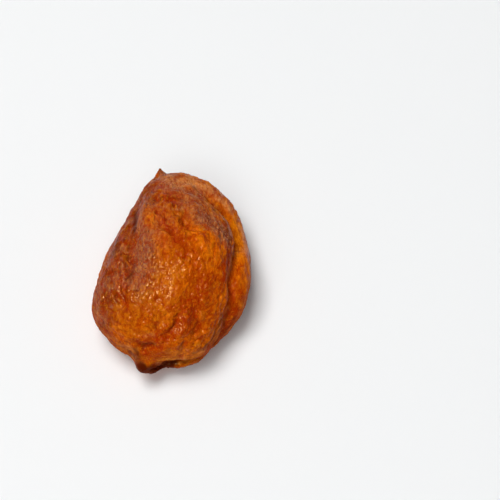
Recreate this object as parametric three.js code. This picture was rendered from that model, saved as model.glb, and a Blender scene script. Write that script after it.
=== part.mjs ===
// A whole dried apricot: a stone fruit that has shrunk to a wrinkled cushion of two cheeks.
//
// It is one piece of flesh. It lies on its lower cheek, which the drying tray has flattened.
// A seam, the suture, runs round its right side between the cheeks, from the folded stem end
// with its blunt nub (-Y) to the small dry point of the blossom end (+Y).
// Everything is in millimetres, +Z up.

import * as THREE from "three";
import { ImprovedNoise } from "three/addons/math/ImprovedNoise.js";
import { mergeVertices } from "three/addons/utils/BufferGeometryUtils.js";

// Driving dimensions.
const BODY_LENGTH = 37.8; // stem end to blossom end, without the nub and the point
const FACETS_AROUND = 80;
const FACETS_ALONG = 74;
const TOP_CROWDING = 0.3; // the facets are this much closer together on top, and wider below

// ---------------------------------------------------------------------------------------------
// The smooth body, lofted through eleven evenly spaced stations from the stem end to the blossom
// end. Widths and heights are those of the body before its two ends round off.
// ---------------------------------------------------------------------------------------------

const CENTRE_X = [-5.1, -1.5, -1.8, -1.7, -0.3, 1.0, 1.8, 2.2, 2.2, 1.4, -2.2];
const HALF_WIDTH = [17.4, 17.0, 16.0, 15.5, 15.1, 14.0, 12.9, 12.6, 13.4, 16.6, 19];
const SIDE_HEIGHT = [5.6, 7.0, 7.5, 7.8, 8.0, 8.2, 8.3, 8.4, 8.5, 9.2, 10.8];
const DOME_HEIGHT = [13, 13, 12, 11.4, 11, 10.8, 10.6, 10.6, 10.8, 12, 13];
const BELLY_DEPTH = [12, 11, 10, 9.2, 8.9, 8.8, 8.8, 9.0, 9.4, 10, 11];
const FULLNESS = 0.9; // 1 gives an ellipse, less a boxier section
const DOME_LEAN = -0.12; // how far the upper cheek has slid to the left as it dried

const rail = (values) => new THREE.SplineCurve(values.map((v, i) => new THREE.Vector2(i, v)));
const centreX = rail(CENTRE_X);
const halfWidth = rail(HALF_WIDTH);
const sideHeight = rail(SIDE_HEIGHT);
const domeHeight = rail(DOME_HEIGHT);
const bellyDepth = rail(BELLY_DEPTH);

const fuller = (c) => Math.sign(c) * Math.abs(c) ** FULLNESS;

// around is in radians from the right side over the top, along runs from 0 at the stem end to 1
// at the blossom end.
function bodyPoint(around, along) {
  const girth = Math.sin(Math.PI * along);
  const across = fuller(Math.cos(around)) * girth;
  const up = fuller(Math.sin(around)) * girth;
  const rise = up * (up > 0 ? domeHeight : bellyDepth).getPoint(along).y;
  return new THREE.Vector3(
    centreX.getPoint(along).y + across * halfWidth.getPoint(along).y + DOME_LEAN * rise,
    (-BODY_LENGTH / 2) * Math.cos(Math.PI * along),
    sideHeight.getPoint(along).y + rise,
  );
}

const NORMAL_STEP = 1e-3;
const POLE = 1e-4;

function bodyNormal(around, along) {
  if (along < POLE || along > 1 - POLE) return new THREE.Vector3(0, Math.sign(along - 0.5), 0);
  const step = Math.min(NORMAL_STEP, along / 2, (1 - along) / 2);
  const round = bodyPoint(around + NORMAL_STEP, along).sub(bodyPoint(around - NORMAL_STEP, along));
  const forward = bodyPoint(around, along + step).sub(bodyPoint(around, along - step));
  return forward.cross(round).normalize();
}

// ---------------------------------------------------------------------------------------------
// Lines over the body, and what follows them. A place on the body is [degrees around, along].
// ---------------------------------------------------------------------------------------------

const LINE_STEPS = 60;

const placed = ([degrees, along]) => bodyPoint(THREE.MathUtils.degToRad(degrees), along);
const lineOver = (places) =>
  new THREE.CatmullRomCurve3(places.map(placed)).getSpacedPoints(LINE_STEPS);

// How far p is from a line, how far along the line that is, and on which side: positive is to
// the left of the line's direction, seen from outside the fruit.
function nearest(line, p, normal) {
  let best = { distance: Infinity, share: 0, side: 1 };
  for (let i = 1; i < line.length; i += 1) {
    const run = new THREE.Vector3().subVectors(line[i], line[i - 1]);
    const from = new THREE.Vector3().subVectors(p, line[i - 1]);
    const t = THREE.MathUtils.clamp(from.dot(run) / run.lengthSq(), 0, 1);
    const off = from.addScaledVector(run, -t);
    const distance = off.length();
    if (distance < best.distance) {
      const side = Math.sign(run.cross(off).dot(normal));
      best = { distance, share: (i - 1 + t) / (line.length - 1), side };
    }
  }
  return best;
}

const bell = (t) => Math.exp(-t * t);
const fade = (share, start, end) =>
  THREE.MathUtils.smoothstep(share, 0, start) * THREE.MathUtils.smoothstep(1 - share, 0, end);

// The suture parts the two cheeks. The upper cheek drops steeply into it, and the lower cheek
// comes up beyond it as a rolled rim.
const SUTURE = {
  line: lineOver([
    [-40, 0.03], [-1, 0.036], [-6, 0.06], [-12, 0.086], [-17, 0.12], [-17, 0.165], [-14, 0.208],
    [-6, 0.243], [5, 0.284], [14, 0.318], [23, 0.36], [32, 0.408], [31, 0.455], [26, 0.517], [19, 0.571],
    [19, 0.612], [20, 0.652], [30, 0.69], [45, 0.727], [56, 0.775], [71, 0.84], [91, 0.85], [109, 0.9],
  ]),
  depth: rail([1.5, 1.4, 1.2, 1.1, 1.0, 1.2, 1.8, 2.1, 1.9, 0.8, 0.2, 0.05]),
  width: 0.9,
  dip: rail([0.3, 0.1, 0.1, 0.1, 0.2, 0.4, 0.7, 1.0, 1.1, 1.0, 0.7, 0.3]), // of both cheeks towards it
  dipWidth: 3.2,
  rim: rail([0, 0.1, 0.3, 0.5, 0.6, 0.6, 0.6, 0.6, 0.6, 0.5, 0.4, 0.3]),
  rimAway: 3.2,
  rimWidth: 2.0,
  fadeIn: 0.04,
  fadeOut: 0.12,
};

function sutureRelief(p, normal) {
  const { distance, share, side } = nearest(SUTURE.line, p, normal);
  const groove = SUTURE.depth.getPoint(share).y * bell(distance / SUTURE.width);
  const dip = SUTURE.dip.getPoint(share).y * bell(distance / SUTURE.dipWidth);
  const rim = SUTURE.rim.getPoint(share).y * bell((distance - SUTURE.rimAway) / SUTURE.rimWidth);
  const below = side < 0 ? rim : 0;
  return (below - groove - dip) * fade(share, SUTURE.fadeIn, SUTURE.fadeOut);
}

// Folds and creases that the shrinking skin has drawn into the flesh. A positive depth is a
// crease, with a small lip on both sides, and a negative one is a ridge.
const FOLDS = [
  // Across the upper end.
  { line: [[112, 0.66], [106, 0.63], [102, 0.6], [96, 0.57], [90, 0.55], [82, 0.49]],
    depth: 0.8, width: 0.8 },
  { line: [[86, 0.66], [84, 0.6], [81, 0.54]], depth: 0.5, width: 0.8 },
  // Down the slope between the crown and the suture.
  { line: [[60, 0.44], [65, 0.39], [67, 0.35], [63, 0.31], [54, 0.26], [50, 0.215], [48, 0.16]],
    depth: 0.4, width: 1.4 },
  { line: [[62, 0.63], [58, 0.606], [54, 0.56], [50, 0.51], [46, 0.47]], depth: 0.35, width: 0.7 },
  // A pair round a short ridge, above the pad by the nub.
  { line: [[85, 0.26], [88, 0.24], [92, 0.212], [94, 0.194], [99, 0.15]], depth: 0.5, width: 0.7 },
  { line: [[74, 0.3], [73, 0.231], [76, 0.2], [82, 0.177], [92, 0.168]], depth: 0.5, width: 0.7 },
  // Round the nub.
  { line: [[134, 0.17], [128, 0.14], [122, 0.12], [112, 0.119], [96, 0.13]], depth: 0.55, width: 0.7 },
  { line: [[120, 0.12], [138, 0.115], [160, 0.12]], depth: 0.5, width: 0.7 },
  { line: [[59, 0.16], [57, 0.13], [50, 0.098], [24, 0.07]], depth: 0.45, width: 0.7 },
  // The ridge along the crown's left edge, and the trough and the crease beyond it.
  { line: [[110, 0.72], [124, 0.68], [121, 0.61], [114, 0.55], [107, 0.505], [106, 0.47], [110, 0.44],
    [114, 0.4]], depth: -0.6, width: 1.5 },
  { line: [[144, 0.7], [134, 0.63], [126, 0.57], [121, 0.53], [120, 0.49], [118, 0.44], [117, 0.4],
    [113, 0.34]], depth: 0.7, width: 1.7 },
  { line: [[134, 0.44], [128, 0.39], [121, 0.35], [116, 0.29]], depth: 0.55, width: 0.8 },
].map((fold) => ({ ...fold, line: lineOver(fold.line) }));
const FOLD_FADE = 0.22; // of its length, at each end
const LIP = 0.25; // of the crease's depth
const LIP_AWAY = 1.9; // times the crease's width

function foldRelief(p, normal) {
  return FOLDS.reduce((sum, { line, depth, width }) => {
    const { distance, share } = nearest(line, p, normal);
    const lip = LIP * bell((distance - LIP_AWAY * width) / width);
    return sum + depth * (lip - bell(distance / width)) * fade(share, FOLD_FADE, FOLD_FADE);
  }, 0);
}

// Broad swellings and hollows of the cheeks.
const SWELLS = [
  { at: [86, 0.45], reach: 6.5, height: 0.8 }, // the crown, over the stone
  { at: [64, 0.5], reach: 4, height: 0.6 },
  { at: [62, 0.64], reach: 3.4, height: -0.7 },
  { at: [140, 0.35], reach: 5, height: 0.5 },
  { at: [174, 0.33], reach: 3, height: 0.5 },
  { at: [179, 0.53], reach: 3.6, height: 0.75 },
  { at: [160, 0.82], reach: 3.0, height: 0.5 },
  { at: [172, 0.28], reach: 3, height: 0.2 },
  { at: [184, 0.17], reach: 3, height: 0.15 },
  { at: [0, 0.34], reach: 3, height: 0.3 },
  { at: [-10, 0.19], reach: 3, height: 0.3 },
  { at: [30, 0.84], reach: 3, height: -0.4 },
  { at: [40, 0.94], reach: 1.6, height: 0.5 }, // the shoulder beside the point
  { at: [-34, 0.1], reach: 3.4, height: 0.75 }, // the lower lip
  { at: [176, 0.075], reach: 1.7, height: 0.9 }, // the nub's flank
  { at: [174, 0.15], reach: 1.6, height: -0.5 }, // and the notch beyond it
  { at: [114, 0.13], reach: 2.6, height: -0.6 }, // the hollow over the nub
  { at: [76, 0.12], reach: 3.2, height: 0.5 }, // the pad beside it
].map((swell) => ({ ...swell, at: placed(swell.at) }));

const swellRelief = (p) =>
  SWELLS.reduce((sum, { at, reach, height }) => sum + height * bell(p.distanceTo(at) / reach), 0);

// The finer wrinkles of the whole skin: rounded pads between narrow, wandering valleys, drawn out
// along the fruit, and smaller ones on top of them.
const WRINKLES = [
  { height: 0.45, across: 4.2, along: 7.0, seed: 0.45 },
  { height: 0.3, across: 2.2, along: 3.6, seed: 0.3 },
];
const PAD_ROUNDNESS = 2.2; // how much a pad's middle stands out over its valleys
const VALLEY_FLOOR = 0.01; // rounds off the bottoms of the valleys
const WANDER = 1.6;
const WANDER_OVER = 7;
const WANDER_SEEDS = new THREE.Vector3(5.7, 8.9, 11.3);
const MEAN_STRENGTH = 0.9;
const STRENGTH_VARIES = 0.5;
const STRENGTH_SEED = 20.1;
const TAUT = 0.55; // how much weaker they are round the sides, where the skin is taut
const TAUT_WIDTH = 0.5; // of the skin's upward slope
const noise = new ImprovedNoise();

function wrinkleRelief(p, normal) {
  const q = p.clone().divideScalar(WANDER_OVER);
  const x = p.x + WANDER * noise.noise(q.x + WANDER_SEEDS.x, q.y, q.z);
  const y = p.y + WANDER * noise.noise(q.x, q.y + WANDER_SEEDS.y, q.z);
  const z = p.z + WANDER * noise.noise(q.x, q.y, q.z + WANDER_SEEDS.z);
  const varied = MEAN_STRENGTH + STRENGTH_VARIES * noise.noise(q.x + STRENGTH_SEED, q.y, q.z);
  const strength = varied * (1 - TAUT * bell(normal.z / TAUT_WIDTH));
  return WRINKLES.reduce((sum, { height, across, along, seed }) => {
    const pad = Math.abs(noise.noise(x / across, y / along, z / across + seed));
    return sum + height * strength * (PAD_ROUNDNESS * Math.sqrt(pad + VALLEY_FLOOR) - 1);
  }, 0);
}

// ---------------------------------------------------------------------------------------------
// The two ends, drawn out from the flesh: a low bluntness gives a thorn with hollow flanks.
// ---------------------------------------------------------------------------------------------

const NUB = {
  root: bodyPoint(0, 0).add(new THREE.Vector3(0.6, 0, 0)),
  lean: new THREE.Vector3(-0.15, -0.95, 0.05).normalize(),
  reach: 1.3,
  spread: 3.1,
  bluntness: 3.2,
};
const POINT = {
  root: bodyPoint(0, 1),
  lean: new THREE.Vector3(-0.2, 0.85, 0.35).normalize(),
  reach: 1.7,
  spread: 1.9,
  bluntness: 1,
};

function drawOut(p, base, { root, lean, reach, spread, bluntness }) {
  const r = base.distanceTo(root) / spread;
  if (r < 1) p.addScaledVector(lean, reach * (1 - r ** bluntness) ** 2);
}

// ---------------------------------------------------------------------------------------------
// The whole fruit.
// ---------------------------------------------------------------------------------------------

function fleshPoint(around, along) {
  const base = bodyPoint(around, along);
  const normal = bodyNormal(around, along);
  const folds = sutureRelief(base, normal) + foldRelief(base, normal);
  const relief = folds + swellRelief(base) + wrinkleRelief(base, normal);
  const p = base.clone().addScaledVector(normal, relief);
  drawOut(p, base, NUB);
  drawOut(p, base, POINT);
  p.z = Math.max(p.z, 0); // the flat spot it rests on
  return p;
}

function fleshGeometry() {
  const sphere = new THREE.SphereGeometry(1, FACETS_AROUND, FACETS_ALONG);
  sphere.deleteAttribute("normal");
  sphere.deleteAttribute("uv");
  const geometry = mergeVertices(sphere, 1e-6);
  const position = geometry.getAttribute("position");
  for (let i = 0; i < position.count; i += 1) {
    const direction = new THREE.Vector3().fromBufferAttribute(position, i).normalize();
    const along = Math.acos(THREE.MathUtils.clamp(-direction.y, -1, 1)) / Math.PI;
    const turn = Math.atan2(direction.z, direction.x);
    const p = fleshPoint(turn + TOP_CROWDING * Math.cos(turn), along);
    position.setXYZ(i, p.x, p.y, p.z);
  }
  // The origin is on the ground, under the middle of the fruit.
  geometry.computeBoundingBox();
  const middle = geometry.boundingBox.getCenter(new THREE.Vector3());
  geometry.translate(-middle.x, -middle.y, 0);
  geometry.computeVertexNormals();
  return geometry;
}

const flesh = new THREE.MeshStandardMaterial({ color: 0xb45209, roughness: 0.45, metalness: 0 });
const apricot = new THREE.Mesh(fleshGeometry(), flesh);
apricot.name = "dried_apricot";

const group = new THREE.Group();
group.add(apricot);

export default group;
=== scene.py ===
import math

import bpy
import numpy as np
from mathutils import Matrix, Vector, noise

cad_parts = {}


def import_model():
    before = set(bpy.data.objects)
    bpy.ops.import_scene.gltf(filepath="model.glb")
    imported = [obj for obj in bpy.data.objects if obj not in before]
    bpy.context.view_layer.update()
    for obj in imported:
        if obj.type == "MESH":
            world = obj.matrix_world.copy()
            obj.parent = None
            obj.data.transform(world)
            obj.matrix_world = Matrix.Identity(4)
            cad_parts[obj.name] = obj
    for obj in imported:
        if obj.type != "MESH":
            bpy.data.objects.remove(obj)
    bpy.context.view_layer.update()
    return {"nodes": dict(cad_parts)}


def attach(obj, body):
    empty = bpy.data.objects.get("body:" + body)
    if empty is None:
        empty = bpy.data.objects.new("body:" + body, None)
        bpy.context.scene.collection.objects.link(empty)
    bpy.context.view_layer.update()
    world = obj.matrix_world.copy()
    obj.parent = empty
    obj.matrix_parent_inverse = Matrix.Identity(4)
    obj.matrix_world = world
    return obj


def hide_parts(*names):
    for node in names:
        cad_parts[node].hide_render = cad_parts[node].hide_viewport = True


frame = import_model()

# ---------------------------------------------------------------------------------------------
# The camera looks down on the fruit from its stem end. It comes first because the marks on the
# skin are given as pixels of its view, and found on the skin along its lines of sight.
# ---------------------------------------------------------------------------------------------

MM = 0.001
LOOK_DOWN = math.radians(66)
CAMERA_AWAY = 360 * MM
NEAREST_SEEN = 10 * MM
LENS = 134.8  # its focal length in mm
FRUIT_MIDDLE = Vector((0, 0, 9 * MM))
VIEW_SIDE = 500  # pixels
FRUIT_PIXEL = (172, 268)  # where the fruit's middle stands in the view

bpy.ops.object.select_all(action="DESELECT")
bpy.ops.object.camera_add()
camera = bpy.context.object
camera.name = "camera"
backwards = Vector((0, -math.cos(LOOK_DOWN), math.sin(LOOK_DOWN)))
camera.location = FRUIT_MIDDLE + CAMERA_AWAY * backwards
camera.rotation_euler = backwards.to_track_quat("Z", "Y").to_euler()
camera.data.lens = LENS
camera.data.clip_start = NEAREST_SEEN
camera.data.shift_x = 0.5 - FRUIT_PIXEL[0] / VIEW_SIDE
camera.data.shift_y = FRUIT_PIXEL[1] / VIEW_SIDE - 0.5
bpy.context.scene.camera = camera


def sight(pixel):
    """The direction in which the camera sees a pixel of its view."""
    across = (pixel[0] - FRUIT_PIXEL[0]) / VIEW_SIDE * camera.data.sensor_width / LENS
    up = (FRUIT_PIXEL[1] - pixel[1]) / VIEW_SIDE * camera.data.sensor_width / LENS
    return (camera.rotation_euler.to_matrix() @ Vector((across, up, -1))).normalized()


# ---------------------------------------------------------------------------------------------
# The flesh. A whole apricot dries to one solid cushion of flesh, closed all over by its skin.
# The frame's faceted body is copied, rounded and drawn into one even sheet of small faces, on
# which the skin's relief can be raised.
# ---------------------------------------------------------------------------------------------

GRAIN = 0.21 * MM  # the side of a face
SAME_PLACE = 0.005 * MM
ANY_ANGLE = math.pi
ROUNDINGS = 2
EASINGS = 4
EASING = 0.5

flesh = bpy.data.objects.new("apricot_flesh", frame["nodes"]["dried_apricot"].data.copy())
bpy.context.scene.collection.objects.link(flesh)
flesh.data.materials.clear()
bpy.ops.object.select_all(action="DESELECT")
flesh.select_set(True)
bpy.context.view_layer.objects.active = flesh

bpy.ops.object.mode_set(mode="EDIT")
bpy.ops.mesh.select_all(action="SELECT")
bpy.ops.mesh.remove_doubles(threshold=SAME_PLACE)
bpy.ops.mesh.tris_convert_to_quads(face_threshold=ANY_ANGLE, shape_threshold=ANY_ANGLE)
bpy.ops.object.mode_set(mode="OBJECT")

rounding = flesh.modifiers.new("rounding", "SUBSURF")
rounding.levels = ROUNDINGS
rounding.render_levels = ROUNDINGS
bpy.ops.object.modifier_apply(modifier=rounding.name)
sheet = flesh.modifiers.new("even_faces", "REMESH")
sheet.mode = "VOXEL"
sheet.voxel_size = GRAIN
bpy.ops.object.modifier_apply(modifier=sheet.name)
easing = flesh.modifiers.new("easing", "SMOOTH")
easing.factor = EASING
easing.iterations = EASINGS
bpy.ops.object.modifier_apply(modifier=easing.name)
bpy.ops.object.shade_smooth()

mesh = flesh.data
count = len(mesh.vertices)
place = np.empty(count * 3)
mesh.vertices.foreach_get("co", place)
place = place.reshape(-1, 3)
edges = np.empty(len(mesh.edges) * 2, np.int32)
mesh.edges.foreach_get("vertices", edges)
start, end = edges.reshape(-1, 2).T


def outward():
    """The directions in which the skin faces, one for each vertex."""
    normals = np.empty(count * 3)
    mesh.vertex_normals.foreach_get("vector", normals)
    return normals.reshape(-1, 3)


def reshape():
    """Gives the mesh the places that have been worked out, and lets nothing sink into the table."""
    place[:, 2] = np.maximum(place[:, 2], 0)
    mesh.vertices.foreach_set("co", place.ravel())
    mesh.update()


# ---------------------------------------------------------------------------------------------
# The creases. Where the flesh has folded in, the skin lies in narrow creases with a soft lip on
# each side. Each follows a line of points along the skin, carved with a rounded section.
# ---------------------------------------------------------------------------------------------

TINY = 1e-12
PIXELS_APART = 5  # of the points that a line is traced through
WANDER = {2.2 * MM: 0.5 * MM, 0.8 * MM: 0.2 * MM}  # how far the marks stray, over these distances
WANDER_SEED = 2

noise.seed_set(WANDER_SEED)
strayed = place.copy()
for over, far in WANDER.items():
    strayed += far * np.array([noise.noise_vector(Vector(point) / over) for point in place])


def traced(pixels):
    """The line that the camera sees on the skin through these pixels, as points in space."""
    line = []
    for first, last in zip(pixels, pixels[1:] + pixels[-1:]):
        pieces = max(1, round(math.dist(first, last) / PIXELS_APART))
        for i in range(pieces):
            share = i / pieces
            pixel = [a + share * (b - a) for a, b in zip(first, last)]
            hit, point, _, _ = flesh.ray_cast(camera.location, sight(pixel))
            if hit:
                line.append(np.array(point))
    return line if len(line) > 1 else line * 2


def from_line(line, reach):
    """How far the skin is from a line, up to this reach, and what share of the line it is along."""
    away = np.full(count, np.inf)
    share = np.zeros(count)
    low = np.min(line, axis=0) - reach
    high = np.max(line, axis=0) + reach
    near = np.nonzero(((strayed > low) & (strayed < high)).all(axis=1))[0]
    for i, (first, last) in enumerate(zip(line, line[1:])):
        run = last - first
        t = np.clip((strayed[near] - first) @ run / max(run @ run, TINY), 0, 1)
        off = np.linalg.norm(strayed[near] - first - t[:, None] * run, axis=1)
        nearer = off < away[near]
        away[near[nearer]] = off[nearer]
        share[near[nearer]] = (i + t[nearer]) / (len(line) - 1)
    return away, share


def bell(values):
    """1 at 0, falling smoothly to nearly 0 at 2 on either side."""
    return np.exp(-values * values)


def step_up(values, low, high):
    """0 up to low, 1 from high on, and smooth in between."""
    t = np.clip((values - low) / (high - low), 0, 1)
    return t * t * (3 - 2 * t)


# Pixels along each crease, then its depth and its half width in mm.
CREASES = [
    ([(154, 180), (157, 176), (159, 172)], 0.35, 0.50),
    ([(154, 208), (160, 215), (165, 221), (168, 227), (173, 233), (178, 238)], 0.10, 0.38),
    ([(174, 212), (180, 219), (184, 228)], 0.08, 0.40),
    ([(136, 212), (136, 220), (134, 229)], 0.12, 0.50),
    ([(119, 282), (121, 290), (124, 297), (127, 303), (128, 309)], 0.12, 0.36),
    ([(131, 270), (129, 279)], 0.08, 0.45),
    ([(133, 288), (139, 291)], 0.12, 0.40),
    ([(143, 275), (148, 273)], 0.10, 0.36),
    ([(160, 320), (156, 327), (154, 334)], 0.10, 0.36),
    ([(177, 316), (174, 325), (169, 332), (161, 336)], 0.04, 0.30),
    ([(137, 340), (142, 346), (148, 343), (154, 344), (159, 341)], 0.06, 0.36),
    ([(147, 346), (142, 352)], 0.14, 0.42),
    ([(126, 350), (131, 353), (135, 358)], 0.20, 0.70),
    ([(199, 316), (196, 324), (194, 333), (193, 340)], 0.10, 0.42),
    ([(184, 341), (181, 348), (177, 353), (176, 357)], 0.12, 0.38),
    ([(226, 276), (225, 288), (224, 300), (221, 314), (217, 326)], 0.10, 0.36),
    ([(221, 288), (219, 302), (216, 318), (212, 332)], 0.08, 0.32),
    ([(230, 304), (227, 314), (222, 327), (215, 340), (208, 349)], 0.10, 0.40),
    ([(212, 341), (205, 349), (197, 353), (188, 356)], 0.14, 0.40),
    ([(102, 318), (104, 327), (109, 335), (116, 341), (124, 345)], 0.10, 0.36),
    ([(206, 232), (212, 240), (214, 250)], 0.06, 0.36),
    ([(203, 205), (209, 214), (215, 223)], 0.10, 0.30),
    ([(209, 203), (216, 212), (222, 223)], 0.14, 0.34),
    ([(209, 219), (216, 228), (222, 239)], 0.12, 0.30),
    ([(215, 219), (222, 229), (227, 241)], 0.12, 0.30),
    ([(146, 372), (152, 370), (160, 367), (168, 364), (178, 361), (186, 359)], 0.60, 0.55),
]
CREASE_LIP = 0.3  # of the crease's depth
LIP_AWAY = 1.8  # times its half width
CREASE_REACH = 4  # times its half width, past which nothing of it is left
# The dark line in a crease is painted shade.
LINE_SHARPNESS = 0.9  # of the dark line in a crease, against the crease itself
ENDS = 0.2  # of its length, over which it fades out at each end

normals = outward()
crease = np.zeros(count)
sink = np.zeros(count)
for pixels, depth, half_width in CREASES:
    away, share = from_line(traced(pixels), CREASE_REACH * half_width * MM)
    away = away / (half_width * MM)
    strength = step_up(share, 0, ENDS) * step_up(1 - share, 0, ENDS)
    sink += depth * MM * strength * (bell(away) - CREASE_LIP * bell(away - LIP_AWAY))
    crease = np.maximum(crease, strength * bell(away * LINE_SHARPNESS))
place -= normals * sink[:, None]
reshape()

# ---------------------------------------------------------------------------------------------
# The wrinkles. Skin that is too wide for the shrunken flesh buckles into small rounded pads with
# sharp creases between them. They are drawn out along the folds, and there are three sizes, one
# on top of the other.
# ---------------------------------------------------------------------------------------------

# Each size of wrinkle: how far apart its creases are, and how deep it is.
WRINKLES = {
    "broad": (2.4 * MM, 0.05 * MM),
    "coarse": (1.4 * MM, 0.06 * MM),
    "fine": (0.68 * MM, 0.036 * MM),
}
STRETCH = 2.6  # how many times longer than wide a pad is
PAD_REACHES = 2.9  # the width of a pad, over the reach of the random values that it is made from
PAD_TOP = 2.5  # over the random values' spread, past which a pad is flat
FOLD_REACH = 1.3 * MM  # over which the skin's sinking is judged
COURSE_REACH = 1.0 * MM  # over which the course of the folds is evened out
LENGTHWISE = (0.15, 1.0, 0.0)  # the way in which the pads lie where nothing folds
LENGTHWISE_PULL = 0.8
STEEP_RANK = 70  # per cent of the skin that is less steep than a fold's side
MEAN_STRENGTH = 0.95
UNEVENNESS = 0.9
UNEVEN_SIZE = 7 * MM
LEAST_STRENGTH = 0.3
MOST_STRENGTH = 1.6
TAUT = 0.75  # how much weaker they are round the sides, where the skin is taut
TAUT_WIDTH = 0.45  # of the skin's upward slope
SKIN_SEED = 11
# Pixels along where the wrinkles are weaker, how far that reaches in mm, and how much weaker they
# are. Below 0, they are stronger.
CALM = [
    ([(186, 180), (202, 186), (218, 200), (232, 218), (241, 240), (243, 270), (238, 300)],
     2.0, 0.65),
    ([(158, 204), (172, 216), (186, 228)], 4.0, -0.55),
    ([(192, 290), (200, 305), (208, 325)], 3.5, -0.4),
    ([(206, 208), (218, 224)], 2.2, -0.6),
]
REACHES_OUT = 3  # how many reaches away a stroke is followed


def at_ends(values):
    """The sum, at each vertex, of the values of the edges that meet there."""
    return np.bincount(start, values, count) + np.bincount(end, values, count)


def smoothed(values, reach, ease=np.ones(len(start))):
    """Values on the skin, averaged over about this reach, more along edges of greater ease."""
    share = ease / at_ends(ease).max()
    rounds = max(1, round(0.5 * (reach / GRAIN) ** 2 / share.mean()))
    for _ in range(rounds):
        step = (values[end] - values[start]) * share
        values = values + np.bincount(start, step, count) - np.bincount(end, step, count)
    return values


def sunk(reach):
    """How far the skin lies under its surroundings, judged over this reach."""
    level = np.stack([smoothed(place[:, axis], reach) for axis in range(3)], axis=1)
    return ((level - place) * outward()).sum(axis=1)


fold_depth = sunk(FOLD_REACH)
course = smoothed(fold_depth, COURSE_REACH)

# The folds run square to the way in which they deepen, and the pads lie along them.
normals = outward()
along = place[end] - place[start]
length = np.linalg.norm(along, axis=1)
deepen = (course[end] - course[start]) / length**2
slope = np.stack([at_ends(deepen * along[:, axis]) for axis in range(3)], axis=1)
run = np.cross(normals, slope)
steepness = np.linalg.norm(run, axis=1, keepdims=True)
lengthwise = LENGTHWISE - normals * (normals @ LENGTHWISE)[:, None]
sign = np.sign((run * lengthwise).sum(axis=1, keepdims=True))
run = run * sign / np.percentile(steepness, STEEP_RANK) + LENGTHWISE_PULL * lengthwise
run /= np.linalg.norm(run, axis=1, keepdims=True)
facing = (along / length[:, None] * (run[start] + run[end]) / 2).sum(axis=1)
ease = 1 + (STRETCH**2 - 1) * facing**2

draw = np.random.default_rng(SKIN_SEED)


def mottle(reach, ease=np.ones(len(start))):
    """Random values on the skin with a mean of 0, a spread of 1 and spots of about this reach."""
    values = smoothed(draw.normal(0, 1, count), reach, ease)
    values -= smoothed(values, 2 * reach, ease)
    return values / values.std()


def cloud(size):
    """Slow random values on the skin, mostly within half of 0, with clouds of about this size."""
    shift = Vector(draw.uniform(0, 100, 3))
    return np.array([noise.noise(Vector(point) / size + shift) for point in place])


wrinkles = np.zeros(count)
for apart, depth in WRINKLES.values():
    height = np.minimum(np.abs(mottle(apart / PAD_REACHES, ease)), PAD_TOP)
    wrinkles += depth * (height - height.mean()) / height.std()
strength = MEAN_STRENGTH + UNEVENNESS * cloud(UNEVEN_SIZE)
strength = np.clip(strength, LEAST_STRENGTH, MOST_STRENGTH)
strength *= 1 - TAUT * bell(normals[:, 2] / TAUT_WIDTH)
for pixels, reach, share in CALM:
    away, _ = from_line(traced(pixels), REACHES_OUT * reach * MM)
    strength *= 1 - share * bell(away / (reach * MM))
place += normals * (strength * wrinkles)[:, None]
reshape()
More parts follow.
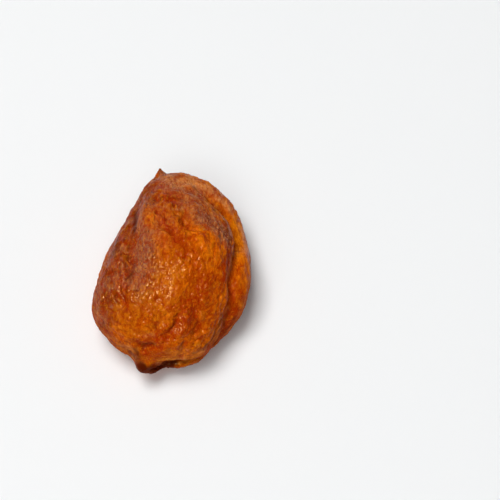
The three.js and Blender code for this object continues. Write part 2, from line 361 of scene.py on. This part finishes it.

# ---------------------------------------------------------------------------------------------
# The skin's colours. Clear flesh shows through in amber and gold, and a bright glow is painted
# on the rim and the lip as painted highlight. Over it lie russet where the sun was, which on the
# left and on the down-facing sides is also painted shade; red, which in the hollows is painted
# shade; tan, partly painted highlight and sheen on the rim, the lip and the top; a dusty bloom of
# dried sugar on the ridges, partly painted sheen; plum in the suture; dark, mostly painted shade in
# the suture, the creases and under the lip; and wood brown on the nub and the point. The valleys of
# the wrinkles and pads are painted darker and their tops lighter, as painted shade and highlight.
# ---------------------------------------------------------------------------------------------

# Pixels along each stroke, how far it reaches in mm, and how strong it is.
STROKES = {
    "gold": [
        ([(197, 238), (212, 246), (208, 260), (214, 264)], 3.2, 1.0),
        ([(222, 208), (233, 218), (237, 232), (241, 250)], 1.6, 1.0),
        ([(238, 256), (241, 272), (237, 292)], 2.0, 0.9),
        ([(150, 215), (160, 224), (172, 222), (178, 230)], 1.6, 0.5),
        ([(155, 235), (165, 250)], 1.6, 0.4),
        ([(195, 262), (190, 272), (188, 285)], 1.8, 0.7),
        ([(206, 286), (212, 300)], 1.6, 0.5),
        ([(148, 322), (140, 328)], 1.6, 0.5),
        ([(170, 349), (185, 349), (196, 346), (204, 334)], 2.8, 1.0),
        ([(216, 296), (212, 312), (207, 326)], 2.0, 0.7),
        ([(231, 288), (227, 305)], 1.2, 0.7),
        # Painted light over the groove, lifting its shade.
        ([(227, 280), (225, 296)], 0.9, 0.6),
        ([(157, 222), (166, 240)], 1.6, 0.9),
        ([(160, 248), (163, 256)], 1.4, 0.6),
        ([(176, 284), (184, 300)], 1.4, 0.5),
        # Painted light along a crease, lifting its shade.
        ([(175, 314), (169, 324), (163, 331)], 0.8, 0.6),
        ([(191, 318), (188, 331), (184, 345)], 1.2, 0.6),
        ([(228, 305), (224, 318)], 1.0, 0.5),
        ([(100, 308), (106, 318), (114, 331), (124, 342)], 1.6, 0.7),
        ([(224, 288), (222, 305), (216, 322)], 0.9, 0.8),
    ],
    "red": [
        ([(163, 206), (169, 216), (175, 228), (181, 236), (186, 248)], 1.5, 0.55),
        ([(153, 209), (159, 215), (164, 222), (168, 229), (174, 234), (180, 240)], 0.7, 0.8),
        ([(172, 244), (179, 250), (186, 254)], 2.0, 0.4),
        ([(176, 252), (186, 262)], 1.8, 0.4),
        ([(178, 214), (184, 228), (188, 238)], 0.9, 0.5),
        ([(199, 274), (202, 284), (196, 298), (192, 312), (197, 326)], 1.8, 0.75),
        ([(206, 278), (210, 290), (207, 302)], 1.5, 0.3),
        ([(190, 300), (205, 320), (215, 300), (232, 290), (228, 320)], 4.0, 0.3),
        ([(158, 330), (164, 328)], 1.6, 0.5),
        ([(160, 300), (168, 306)], 1.4, 0.5),
        ([(176, 320), (172, 330), (164, 337), (156, 342)], 1.0, 0.5),
        ([(138, 341), (148, 345), (145, 353)], 1.2, 0.8),
        ([(148, 348), (151, 357), (157, 350)], 2.2, 0.55),
        ([(118, 284), (124, 297), (128, 306)], 0.8, 0.8),
        ([(112, 243), (117, 240), (124, 243)], 1.4, 0.7),
        ([(160, 178), (164, 186), (168, 196), (175, 200)], 1.8, 0.8),
        ([(172, 198), (178, 204)], 1.2, 0.5),
        ([(135, 268), (128, 272), (124, 280)], 1.4, 0.8),
        ([(228, 236), (229, 250), (227, 264), (225, 278)], 1.1, 1.0),
        ([(232, 275), (236, 290), (230, 310)], 1.6, 0.6),
        ([(103, 272), (104, 282)], 1.2, 0.5),
        ([(110, 333), (120, 342), (128, 349)], 0.7, 0.4),
        ([(205, 354), (216, 342), (226, 328), (236, 312)], 1.2, 0.8),
        ([(180, 345), (200, 350), (210, 342), (214, 325)], 4.0, 0.28),
        ([(193, 298), (186, 312), (180, 326), (174, 332)], 1.5, 0.55),
        ([(168, 290), (168, 298)], 1.2, 0.5),
        ([(222, 262), (222, 275)], 1.6, 0.6),
        ([(140, 338), (152, 340), (164, 342)], 1.6, 0.5),
        ([(197, 246), (199, 258)], 1.6, 0.35),
    ],
    # Partly the skin's own sun browning, partly painted shade over the left side.
    "russet": [
        ([(150, 188), (138, 208), (126, 232), (114, 255), (106, 280), (100, 305)], 4.5, 1.0),
        ([(160, 183), (168, 196), (176, 205)], 2.8, 0.6),
        ([(128, 262), (122, 285)], 3.4, 0.8),
        ([(101, 320), (111, 336), (124, 346)], 1.0, 0.4),
        ([(145, 262), (150, 275), (146, 290)], 2.5, 0.4),
        ([(138, 240), (150, 255)], 2.5, 0.5),
    ],
    # Partly the skin's own pale tan, partly painted highlight and sheen on the rim, the top and the
    # lower lip's top.
    "tan_and_sheen": [
        ([(168, 179), (178, 183), (190, 184), (200, 186)], 1.9, 1.0),
        ([(180, 194), (188, 206)], 1.4, 0.3),
        ([(172, 187), (180, 190), (194, 196)], 1.4, 0.5),
        ([(194, 180), (204, 184), (214, 192), (224, 202), (232, 213)], 0.8, 1.0),
        ([(232, 213), (240, 228), (245, 243), (248, 260)], 0.45, 0.8),
        ([(155, 205), (162, 207), (178, 209), (186, 209)], 0.5, 0.5),
        ([(115, 252), (122, 247)], 0.8, 0.8),
        # A painted glint.
        ([(213, 214), (215, 219)], 0.4, 1.0),
        ([(184, 358), (170, 361), (158, 363)], 0.5, 0.9),
        ([(205, 350), (194, 354)], 0.5, 0.7),
        ([(122, 346), (130, 347), (136, 350)], 0.7, 0.6),
        ([(146, 336), (152, 336)], 0.7, 0.4),
    ],
    # Partly a dusty bloom of dried sugar, partly painted sheen on the ridges and along the left
    # edge.
    "bloom_and_sheen": [
        ([(190, 194), (196, 206), (200, 216)], 2.0, 0.6),
        ([(146, 205), (156, 216), (158, 230), (162, 244)], 2.0, 0.4),
        ([(166, 212), (172, 222), (176, 230)], 1.2, 0.25),
        ([(204, 216), (214, 226), (224, 237)], 1.6, 0.8),
        ([(141, 211), (141, 222), (143, 234)], 0.9, 1.0),
        ([(145, 236), (146, 246), (141, 256), (138, 268), (136, 282)], 1.7, 1.0),
        ([(139, 252), (138, 262)], 2.2, 0.6),
        ([(143, 275), (155, 270)], 0.8, 0.5),
        ([(98, 284), (97, 300), (98, 310), (101, 320)], 1.2, 1.0),
        ([(110, 280), (108, 286)], 1.0, 0.8),
        ([(122, 222), (130, 212), (138, 200)], 1.2, 0.5),
        ([(112, 262), (120, 268), (118, 276)], 1.2, 0.5),
        ([(150, 180), (158, 178)], 1.4, 0.8),
        ([(161, 176), (166, 184), (172, 190)], 1.4, 0.6),
    ],
    # Painted highlight in a bright orange: the lit rim, the lit top of the lower lip and lit spots
    # on the cheek.
    "painted_glow": [
        ([(226, 206), (233, 214), (238, 226), (241, 240), (243, 252)], 1.0, 0.7),
        ([(235, 226), (237, 240), (237, 256)], 1.2, 0.7),
        ([(160, 360), (172, 359), (184, 358)], 0.6, 1.0),
        ([(208, 240), (215, 250)], 2.0, 0.3),
        ([(169, 351), (180, 353), (192, 351), (202, 346)], 2.0, 0.6),
        ([(168, 362), (184, 361), (197, 356)], 0.8, 1.0),
        ([(203, 258), (211, 262)], 1.4, 0.5),
    ],
    "plum": [
        ([(190, 192), (200, 200), (206, 212)], 2.0, 0.6),
        ([(206, 218), (214, 224), (221, 231), (227, 239)], 1.5, 1.0),
        ([(213, 206), (220, 210)], 0.9, 0.5),
    ],
    "wood": [
        ([(160, 171), (163, 174), (170, 177)], 1.6, 1.0),
        ([(132, 353), (136, 359), (139, 365), (141, 370)], 1.5, 1.0),
    ],
    # Mostly painted shade: in the suture's groove, in creases and hollows, and under the lower lip;
    # a few are dark marks of the skin.
    "dark_and_shade": [
        ([(221, 213), (226, 222), (229, 235), (230, 246), (228, 260), (226, 274)], 0.5, 0.5),
        ([(213, 205), (215, 210)], 0.5, 0.6),
        ([(142, 368), (148, 370), (153, 367), (160, 366), (166, 364)], 1.2, 1.0),
        ([(141, 371), (148, 372), (154, 371), (159, 369), (164, 367)], 1.4, 0.9),
        ([(164, 366), (176, 364)], 0.5, 1.0),
        ([(176, 363), (190, 360)], 0.35, 0.6),
        ([(236, 318), (228, 328), (220, 338), (213, 346)], 0.45, 0.6),
        ([(231, 306), (226, 318), (219, 332)], 0.5, 0.3),
        ([(222, 316), (217, 330), (211, 340), (203, 348)], 0.45, 0.65),
        ([(136, 213), (135, 231)], 0.9, 0.75),
        ([(113, 240), (118, 246), (113, 252)], 1.4, 0.6),
        ([(129, 258), (134, 264), (132, 280)], 0.9, 0.4),
        ([(106, 279), (107, 290)], 1.5, 0.3),
        ([(136, 350), (139, 356)], 0.9, 0.7),
        ([(129, 271), (127, 278)], 0.8, 0.5),
        ([(145, 344), (152, 344)], 0.6, 0.5),
        ([(103, 320), (105, 326)], 0.4, 0.3),
    ],
}

BLOTCH_SIZE = 0.8 * MM  # of the unevenness along a stroke's edge, small and wide
WIDE_BLOTCH_SIZE = 4 * MM
BLOTCHING = 0.1
WIDE_BLOTCHING = 0.4
# Folds are coloured red as painted shade, up to this depth.
FULL_FOLD = 0.35 * MM  # the depth past which a fold is coloured no more strongly
FULL_WRINKLE = 0.15 * MM
PATCH_SIZE = 0.5 * MM
SIDE_TO_TOP = (0, 0.55)  # the upward slope of the skin, where its sides end and its top begins
BELOW_TO_ABOVE = (-0.4, 0.3)

blotch = mottle(BLOTCH_SIZE)
wide_blotch = cloud(WIDE_BLOTCH_SIZE)


def record(name, values):
    """Keeps values on the skin for its material to read."""
    mesh.attributes.new(name, "FLOAT", "POINT").data.foreach_set("value", values.astype(np.float32))


for pigment, strokes in STROKES.items():
    share = np.zeros(count)
    for pixels, reach, strength in strokes:
        away, _ = from_line(traced(pixels), REACHES_OUT * reach * MM)
        away = away / (reach * MM) * np.exp(BLOTCHING * blotch + WIDE_BLOTCHING * wide_blotch)
        share = 1 - (1 - share) * (1 - strength * bell(away))
    record(pigment, share)
record("side", 1 - step_up(normals[:, 2], *SIDE_TO_TOP))
record("below", 1 - step_up(normals[:, 2], *BELOW_TO_ABOVE))
record("fold", np.clip(fold_depth / FULL_FOLD, -1, 1))
record("crease", crease)
record("wrinkle", np.clip(wrinkles / FULL_WRINKLE, -1, 1))
record("patches", mottle(PATCH_SIZE, ease))


class Wire:
    """A socket of a material, which arithmetic can be done with."""

    def __init__(self, tree, socket=None, kind="value"):
        self.tree = tree
        self.socket = socket
        self.kind = kind

    def node(self, node_type, settings, inputs, output=0, kind="value"):
        """A new node: its settings come first, then the values or wires of its inputs."""
        made = self.tree.nodes.new(node_type)
        for name, value in settings.items():
            setattr(made, name, value)
        for key, value in inputs.items():
            if isinstance(value, Wire):
                self.tree.links.new(value.socket, made.inputs[key])
            else:
                made.inputs[key].default_value = value
        return Wire(self.tree, made.outputs[output], kind)

    def worked(self, operation, first, second):
        """The result of a sum, with the node that suits values or vectors."""
        if self.kind == "vector":
            second_socket = "Scale" if operation == "SCALE" else 1
            return self.node("ShaderNodeVectorMath", {"operation": operation},
                             {0: first, second_socket: second}, kind="vector")
        return self.node("ShaderNodeMath", {"operation": operation}, {0: first, 1: second})

    def __add__(self, other):
        return self.worked("ADD", self, other)

    def __radd__(self, other):
        return self.worked("ADD", other, self)

    def __sub__(self, other):
        return self.worked("SUBTRACT", self, other)

    def __rsub__(self, other):
        return self.worked("SUBTRACT", other, self)

    def __mul__(self, other):
        scaled = self.kind == "vector" and not isinstance(other, tuple)
        return self.worked("SCALE" if scaled else "MULTIPLY", self, other)

    def __rmul__(self, other):
        return self * other

    def between(self, low, high):
        """0 up to low, 1 from high on, and smooth in between."""
        return self.node("ShaderNodeMapRange", {"interpolation_type": "SMOOTHSTEP"},
                         {"Value": self, "From Min": low, "From Max": high})

    def blend(self, first, second):
        """The colour that goes from the first to the second as this value goes from 0 to 1."""
        return self.node("ShaderNodeMix", {"data_type": "RGBA"},
                         {"Factor": self, 6: first, 7: second}, output=2, kind="colour")

    def turned_to(self, colour, share):
        """This colour, mixed with another by a share of 0 to 1."""
        return share.blend(self, colour)

    def speckle(self, size, detail=2.0, roughness=0.5):
        """Noise of about this size, from 0 to 1 with a mean of one half."""
        return self.node("ShaderNodeTexNoise", {}, {"Vector": self, "Scale": 1 / size,
                         "Detail": detail, "Roughness": roughness})

    def pads(self, size):
        """Small rounded pads of about this size, 1 at their middles and 0 in the creases."""
        bend = self.node("ShaderNodeTexNoise", {}, {"Vector": self, "Scale": 0.5 / size},
                         output="Color", kind="vector")
        bent = (self + bend * (size * PAD_BEND)) * PAD_SQUEEZE
        cells = bent.node("ShaderNodeTexVoronoi", {"feature": "SMOOTH_F1"},
                          {"Vector": bent, "Scale": 1 / size, "Smoothness": PAD_SOFTNESS})
        return 1.0 - cells * PAD_FALL


def colour(red, green, blue):
    """A colour from the red, green and blue, of 255, that it has on a screen in full light."""
    shares = [c / 255 for c in (red, green, blue)]
    return [c / 12.92 if c < 0.04045 else ((c + 0.055) / 1.055) ** 2.4 for c in shares] + [1]


AMBER = colour(184, 84, 4)
HONEY = colour(202, 106, 8)
GOLD = colour(218, 102, 1)
RED = colour(157, 43, 1)
RUSSET = colour(126, 48, 8)
TAN = colour(206, 134, 80)
BLOOM_AND_SHEEN = colour(146, 92, 68)
PLUM = colour(122, 60, 32)
WOOD = colour(116, 58, 30)
# Used for dark flecks of the skin and for painted shade.
DARK = colour(84, 22, 2)
# Used for lighter flecks of the skin and for painted highlight.
GLOW = colour(236, 140, 16)

# Sizes of the skin's own markings, in mm.
RAGGED_SIZE = 0.7
STREAK_SIZE = 0.9
FLECK_SIZE = 0.32
PAD_SIZE = 0.42
HONEY_SIZE = 4.0
DUST_AND_SHEEN_SIZE = 8.0
RUSSET_SIDE_SHADE_SIZE = 12.0

# Their shapes. A squeeze under 1 along an axis draws them out along it.
FIBRE_SQUEEZE = (1.0, 0.55, 1.0)
STREAKINESS = 0.78
PAD_SQUEEZE = (1.0, 0.6, 1.0)
PAD_BEND = 1.5  # times a pad's size
PAD_SOFTNESS = 0.35
PAD_FALL = 1.3  # from a pad's middle to its crease

# Their strengths. Dust and painted sheen are rubbed off between the streaks, and flecks show
# most on the bloom.
PATCHINESS = 1.2
OVERFULL = 1.3  # a pigment's share at which its patches would end
RUSSET_SIDE_SHADE_SHARE = 0.8
DUST_AND_SHEEN_LEFT = 0.3
FLECKS_LEFT = 0.3

skin = bpy.data.materials.new("apricot_skin")
skin.use_nodes = True
tree = skin.node_tree
surface = tree.nodes["Principled BSDF"]
metres = Wire(tree).node("ShaderNodeTexCoord", {}, {}, output="Object", kind="vector")
spot = metres * (1 / MM)
ragged = spot.speckle(RAGGED_SIZE, detail=3.0) - 0.5


def kept(name):
    """The values that were recorded on the skin under this name."""
    return spot.node("ShaderNodeAttribute", {"attribute_name": name}, {}, output="Fac")


def share_of(name):
    """The share of a pigment, which lies unevenly."""
    share = kept(name)
    return (share + ragged * PATCHINESS * share * (OVERFULL - share)).between(0, 1)


below = kept("below")
patches = kept("patches")
wrinkle = kept("wrinkle")
plum = share_of("plum")
fibre = spot * FIBRE_SQUEEZE
streaks = fibre.speckle(STREAK_SIZE, detail=5.0, roughness=STREAKINESS)
flecks = fibre.speckle(FLECK_SIZE)
pads = spot.pads(PAD_SIZE)
on_top = DUST_AND_SHEEN_LEFT + (1 - DUST_AND_SHEEN_LEFT) * streaks.between(0.62, 0.4)
bloom_and_sheen = share_of("bloom_and_sheen") * on_top
# Russet patches on the down-facing sides: painted shade.
russet_side_shade = below * spot.speckle(RUSSET_SIDE_SHADE_SIZE, detail=3.0).between(0.4, 0.55) * RUSSET_SIDE_SHADE_SHARE
russet = share_of("russet")
russet = russet + russet_side_shade - russet_side_shade * russet

# Each line lays a colour over the ones before it: the values between which it comes in, and then
# its greatest share.
tone = spot.speckle(HONEY_SIZE, detail=3.0).between(0.4, 0.65).blend(AMBER, HONEY)
tone = tone.turned_to(GOLD, share_of("gold"))
# The painted highlight on the rim, the lip and the cheek.
tone = tone.turned_to(GLOW, share_of("painted_glow") * 0.65)
tone = tone.turned_to(RED, patches.between(0.2, 2.0) * 0.65)
tone = tone.turned_to(GLOW, patches.between(-0.3, -2.0) * 0.25)
# Russet, partly painted shade on the left and on the down-facing sides.
tone = tone.turned_to(RUSSET, russet)
# Purple-grey on the down-facing sides, partly dust and partly painted sheen.
side_dust_and_sheen = below * spot.speckle(DUST_AND_SHEEN_SIZE, detail=4.0).between(0.55, 0.7)
tone = tone.turned_to(BLOOM_AND_SHEEN, side_dust_and_sheen * on_top)
# Painted shade: red in the folds, stronger the deeper they are.
tone = tone.turned_to(RED, kept("fold").between(0.1, 0.8) * 0.6)
tone = tone.turned_to(RED, share_of("red"))
tone = tone.turned_to(PLUM, plum)
tone = tone.turned_to(WOOD, share_of("wood"))
tone = tone.turned_to(DARK, patches.between(0.0, 1.6) * 0.8 * russet)
tone = tone.turned_to(BLOOM_AND_SHEEN, patches.between(-0.2, -1.8) * 0.6 * russet)
# Tan, partly painted highlight and sheen.
tone = tone.turned_to(TAN, share_of("tan_and_sheen") * on_top)
# The bloom, partly painted sheen.
tone = tone.turned_to(BLOOM_AND_SHEEN, bloom_and_sheen)
# Painted shade and painted highlight: the wrinkles' valleys redder and darker, their tops honey.
tone = tone.turned_to(RED, wrinkle.between(0.0, -0.8) * 0.5)
tone = tone.turned_to(DARK, wrinkle.between(-0.2, -1.0) * 0.12)
tone = tone.turned_to(HONEY, wrinkle.between(0.1, 0.9) * 0.25)
tone = tone.turned_to(RED, streaks.between(0.5, 0.68) * 0.6)
tone = tone.turned_to(GLOW, streaks.between(0.5, 0.32) * 0.35)
fleckiness = FLECKS_LEFT + (1 - FLECKS_LEFT) * bloom_and_sheen
tone = tone.turned_to(DARK, flecks.between(0.55, 0.75) * fleckiness)
tone = tone.turned_to(GLOW, flecks.between(0.45, 0.25) * 0.4)
tone = tone.turned_to(TAN, flecks.between(0.5, 0.3) * plum * 0.7)
tone = tone.turned_to(DARK, streaks.between(0.5, 0.65) * plum * 0.5)
# Painted shade and painted highlight: red in the pads' creases and glow on their tops.
tone = tone.turned_to(RED, pads.between(0.5, 0.15) * 0.25)
tone = tone.turned_to(GLOW, pads.between(0.6, 0.9) * 0.12)
# Painted shade: a dark line along each crease.
tone = tone.turned_to(DARK, kept("crease").between(0.3, 1.0) * 0.35)
# Painted shade in the suture, the creases and under the lip, with a few dark marks of the skin.
tone = tone.turned_to(DARK, share_of("dark_and_shade"))
tree.links.new(tone.socket, surface.inputs["Base Color"])

# The skin is sticky and shines, less under the bloom and its painted sheen and round the sides.
# Light goes a little way into it, and comes back red.
STICKY_ROUGHNESS = 0.2
BLOOM_ROUGHNESS = 0.25
SIDE_ROUGHNESS = 0.6
PAD_HEIGHT = 0.06 * MM
PAD_STRENGTH = 0.6
CLEARNESS = 0.25
LIGHT_SPREAD = (1.0, 0.35, 0.08)  # of red, green and blue
LIGHT_DEPTH = 0.6 * MM
SHINE = 0.07
SHINE_TINT = (1.0, 0.62, 0.26, 1)

matt = STICKY_ROUGHNESS + BLOOM_ROUGHNESS * bloom_and_sheen + SIDE_ROUGHNESS * kept("side")
tree.links.new(matt.socket, surface.inputs["Roughness"])
bumps = spot.node("ShaderNodeBump", {}, {"Height": pads, "Strength": PAD_STRENGTH,
                  "Distance": PAD_HEIGHT}, kind="vector")
tree.links.new(bumps.socket, surface.inputs["Normal"])
surface.inputs["Subsurface Weight"].default_value = CLEARNESS
surface.inputs["Subsurface Radius"].default_value = LIGHT_SPREAD
surface.inputs["Subsurface Scale"].default_value = LIGHT_DEPTH
surface.inputs["Specular IOR Level"].default_value = SHINE
surface.inputs["Specular Tint"].default_value = SHINE_TINT

flesh.data.materials.append(skin)
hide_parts("dried_apricot")
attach(flesh, "root")

# ---------------------------------------------------------------------------------------------
# The table: one broad, pale, matt sheet of paper, flat under the fruit. It isn't part of the
# fruit.
# ---------------------------------------------------------------------------------------------

TABLE_SIDE = 6.0  # metres
PAPER_WHITE = (0.872, 0.872, 0.87, 1)
PAPER_ROUGHNESS = 0.9
PAPER_SHINE = 0.07

bpy.ops.object.select_all(action="DESELECT")
bpy.ops.mesh.primitive_plane_add(size=TABLE_SIDE, location=(0, 0, 0))
table = bpy.context.object
table.name = "table"
paper = bpy.data.materials.new("pale_paper")
paper.use_nodes = True
sheet_surface = paper.node_tree.nodes["Principled BSDF"]
sheet_surface.inputs["Base Color"].default_value = PAPER_WHITE
sheet_surface.inputs["Roughness"].default_value = PAPER_ROUGHNESS
sheet_surface.inputs["Specular IOR Level"].default_value = PAPER_SHINE
table.data.materials.append(paper)

# ---------------------------------------------------------------------------------------------
# The light. A window high up on the left casts the soft shadow, and a wide lamp in front fills
# it. A small lamp shows only as glints on the sticky skin. The white room lights the rest.
# ---------------------------------------------------------------------------------------------

LAMP_AWAY = 1.4  # metres
ROOM_COLOUR = (0.86, 0.95, 1, 1)
ROOM_GLOW = 0.16
CEILING_DIMMER = 0.04
WALL_TO_CEILING = (0.2, 0.95)  # the upward part of a direction


def softbox(name, degrees_round, degrees_up, side, energy):
    """A square lamp facing the origin, in a direction given in degrees round from +X and up. Its
    side is in metres and its energy in watts."""
    turn = math.radians(degrees_round)
    rise = math.radians(degrees_up)
    stand = LAMP_AWAY * Vector((math.cos(rise) * math.cos(turn),
                                math.cos(rise) * math.sin(turn), math.sin(rise)))
    bpy.ops.object.light_add(type="AREA", location=stand)
    lamp = bpy.context.object
    lamp.name = name
    lamp.data.size = side
    lamp.data.energy = energy
    lamp.rotation_euler = stand.to_track_quat("Z", "Y").to_euler()
    return lamp


softbox("window", 165, 76, 0.6, 14.4)
softbox("fill", 245, 58, 1.0, 6.8)
glint = softbox("glint", 215, 75, 0.12, 37.0)
glint.visible_diffuse = False

room = bpy.data.worlds.new("room")
room.use_nodes = True
air = room.node_tree.nodes["Background"]
way = Wire(room.node_tree).node("ShaderNodeTexCoord", {}, {}, output="Generated", kind="vector")
upward = way.node("ShaderNodeSeparateXYZ", {}, {0: way}, output="Z")
brightness = ROOM_GLOW - CEILING_DIMMER * upward.between(*WALL_TO_CEILING)
room.node_tree.links.new(brightness.socket, air.inputs["Strength"])
air.inputs["Color"].default_value = ROOM_COLOUR
bpy.context.scene.world = room
bpy.context.scene.view_settings.view_transform = "Standard"
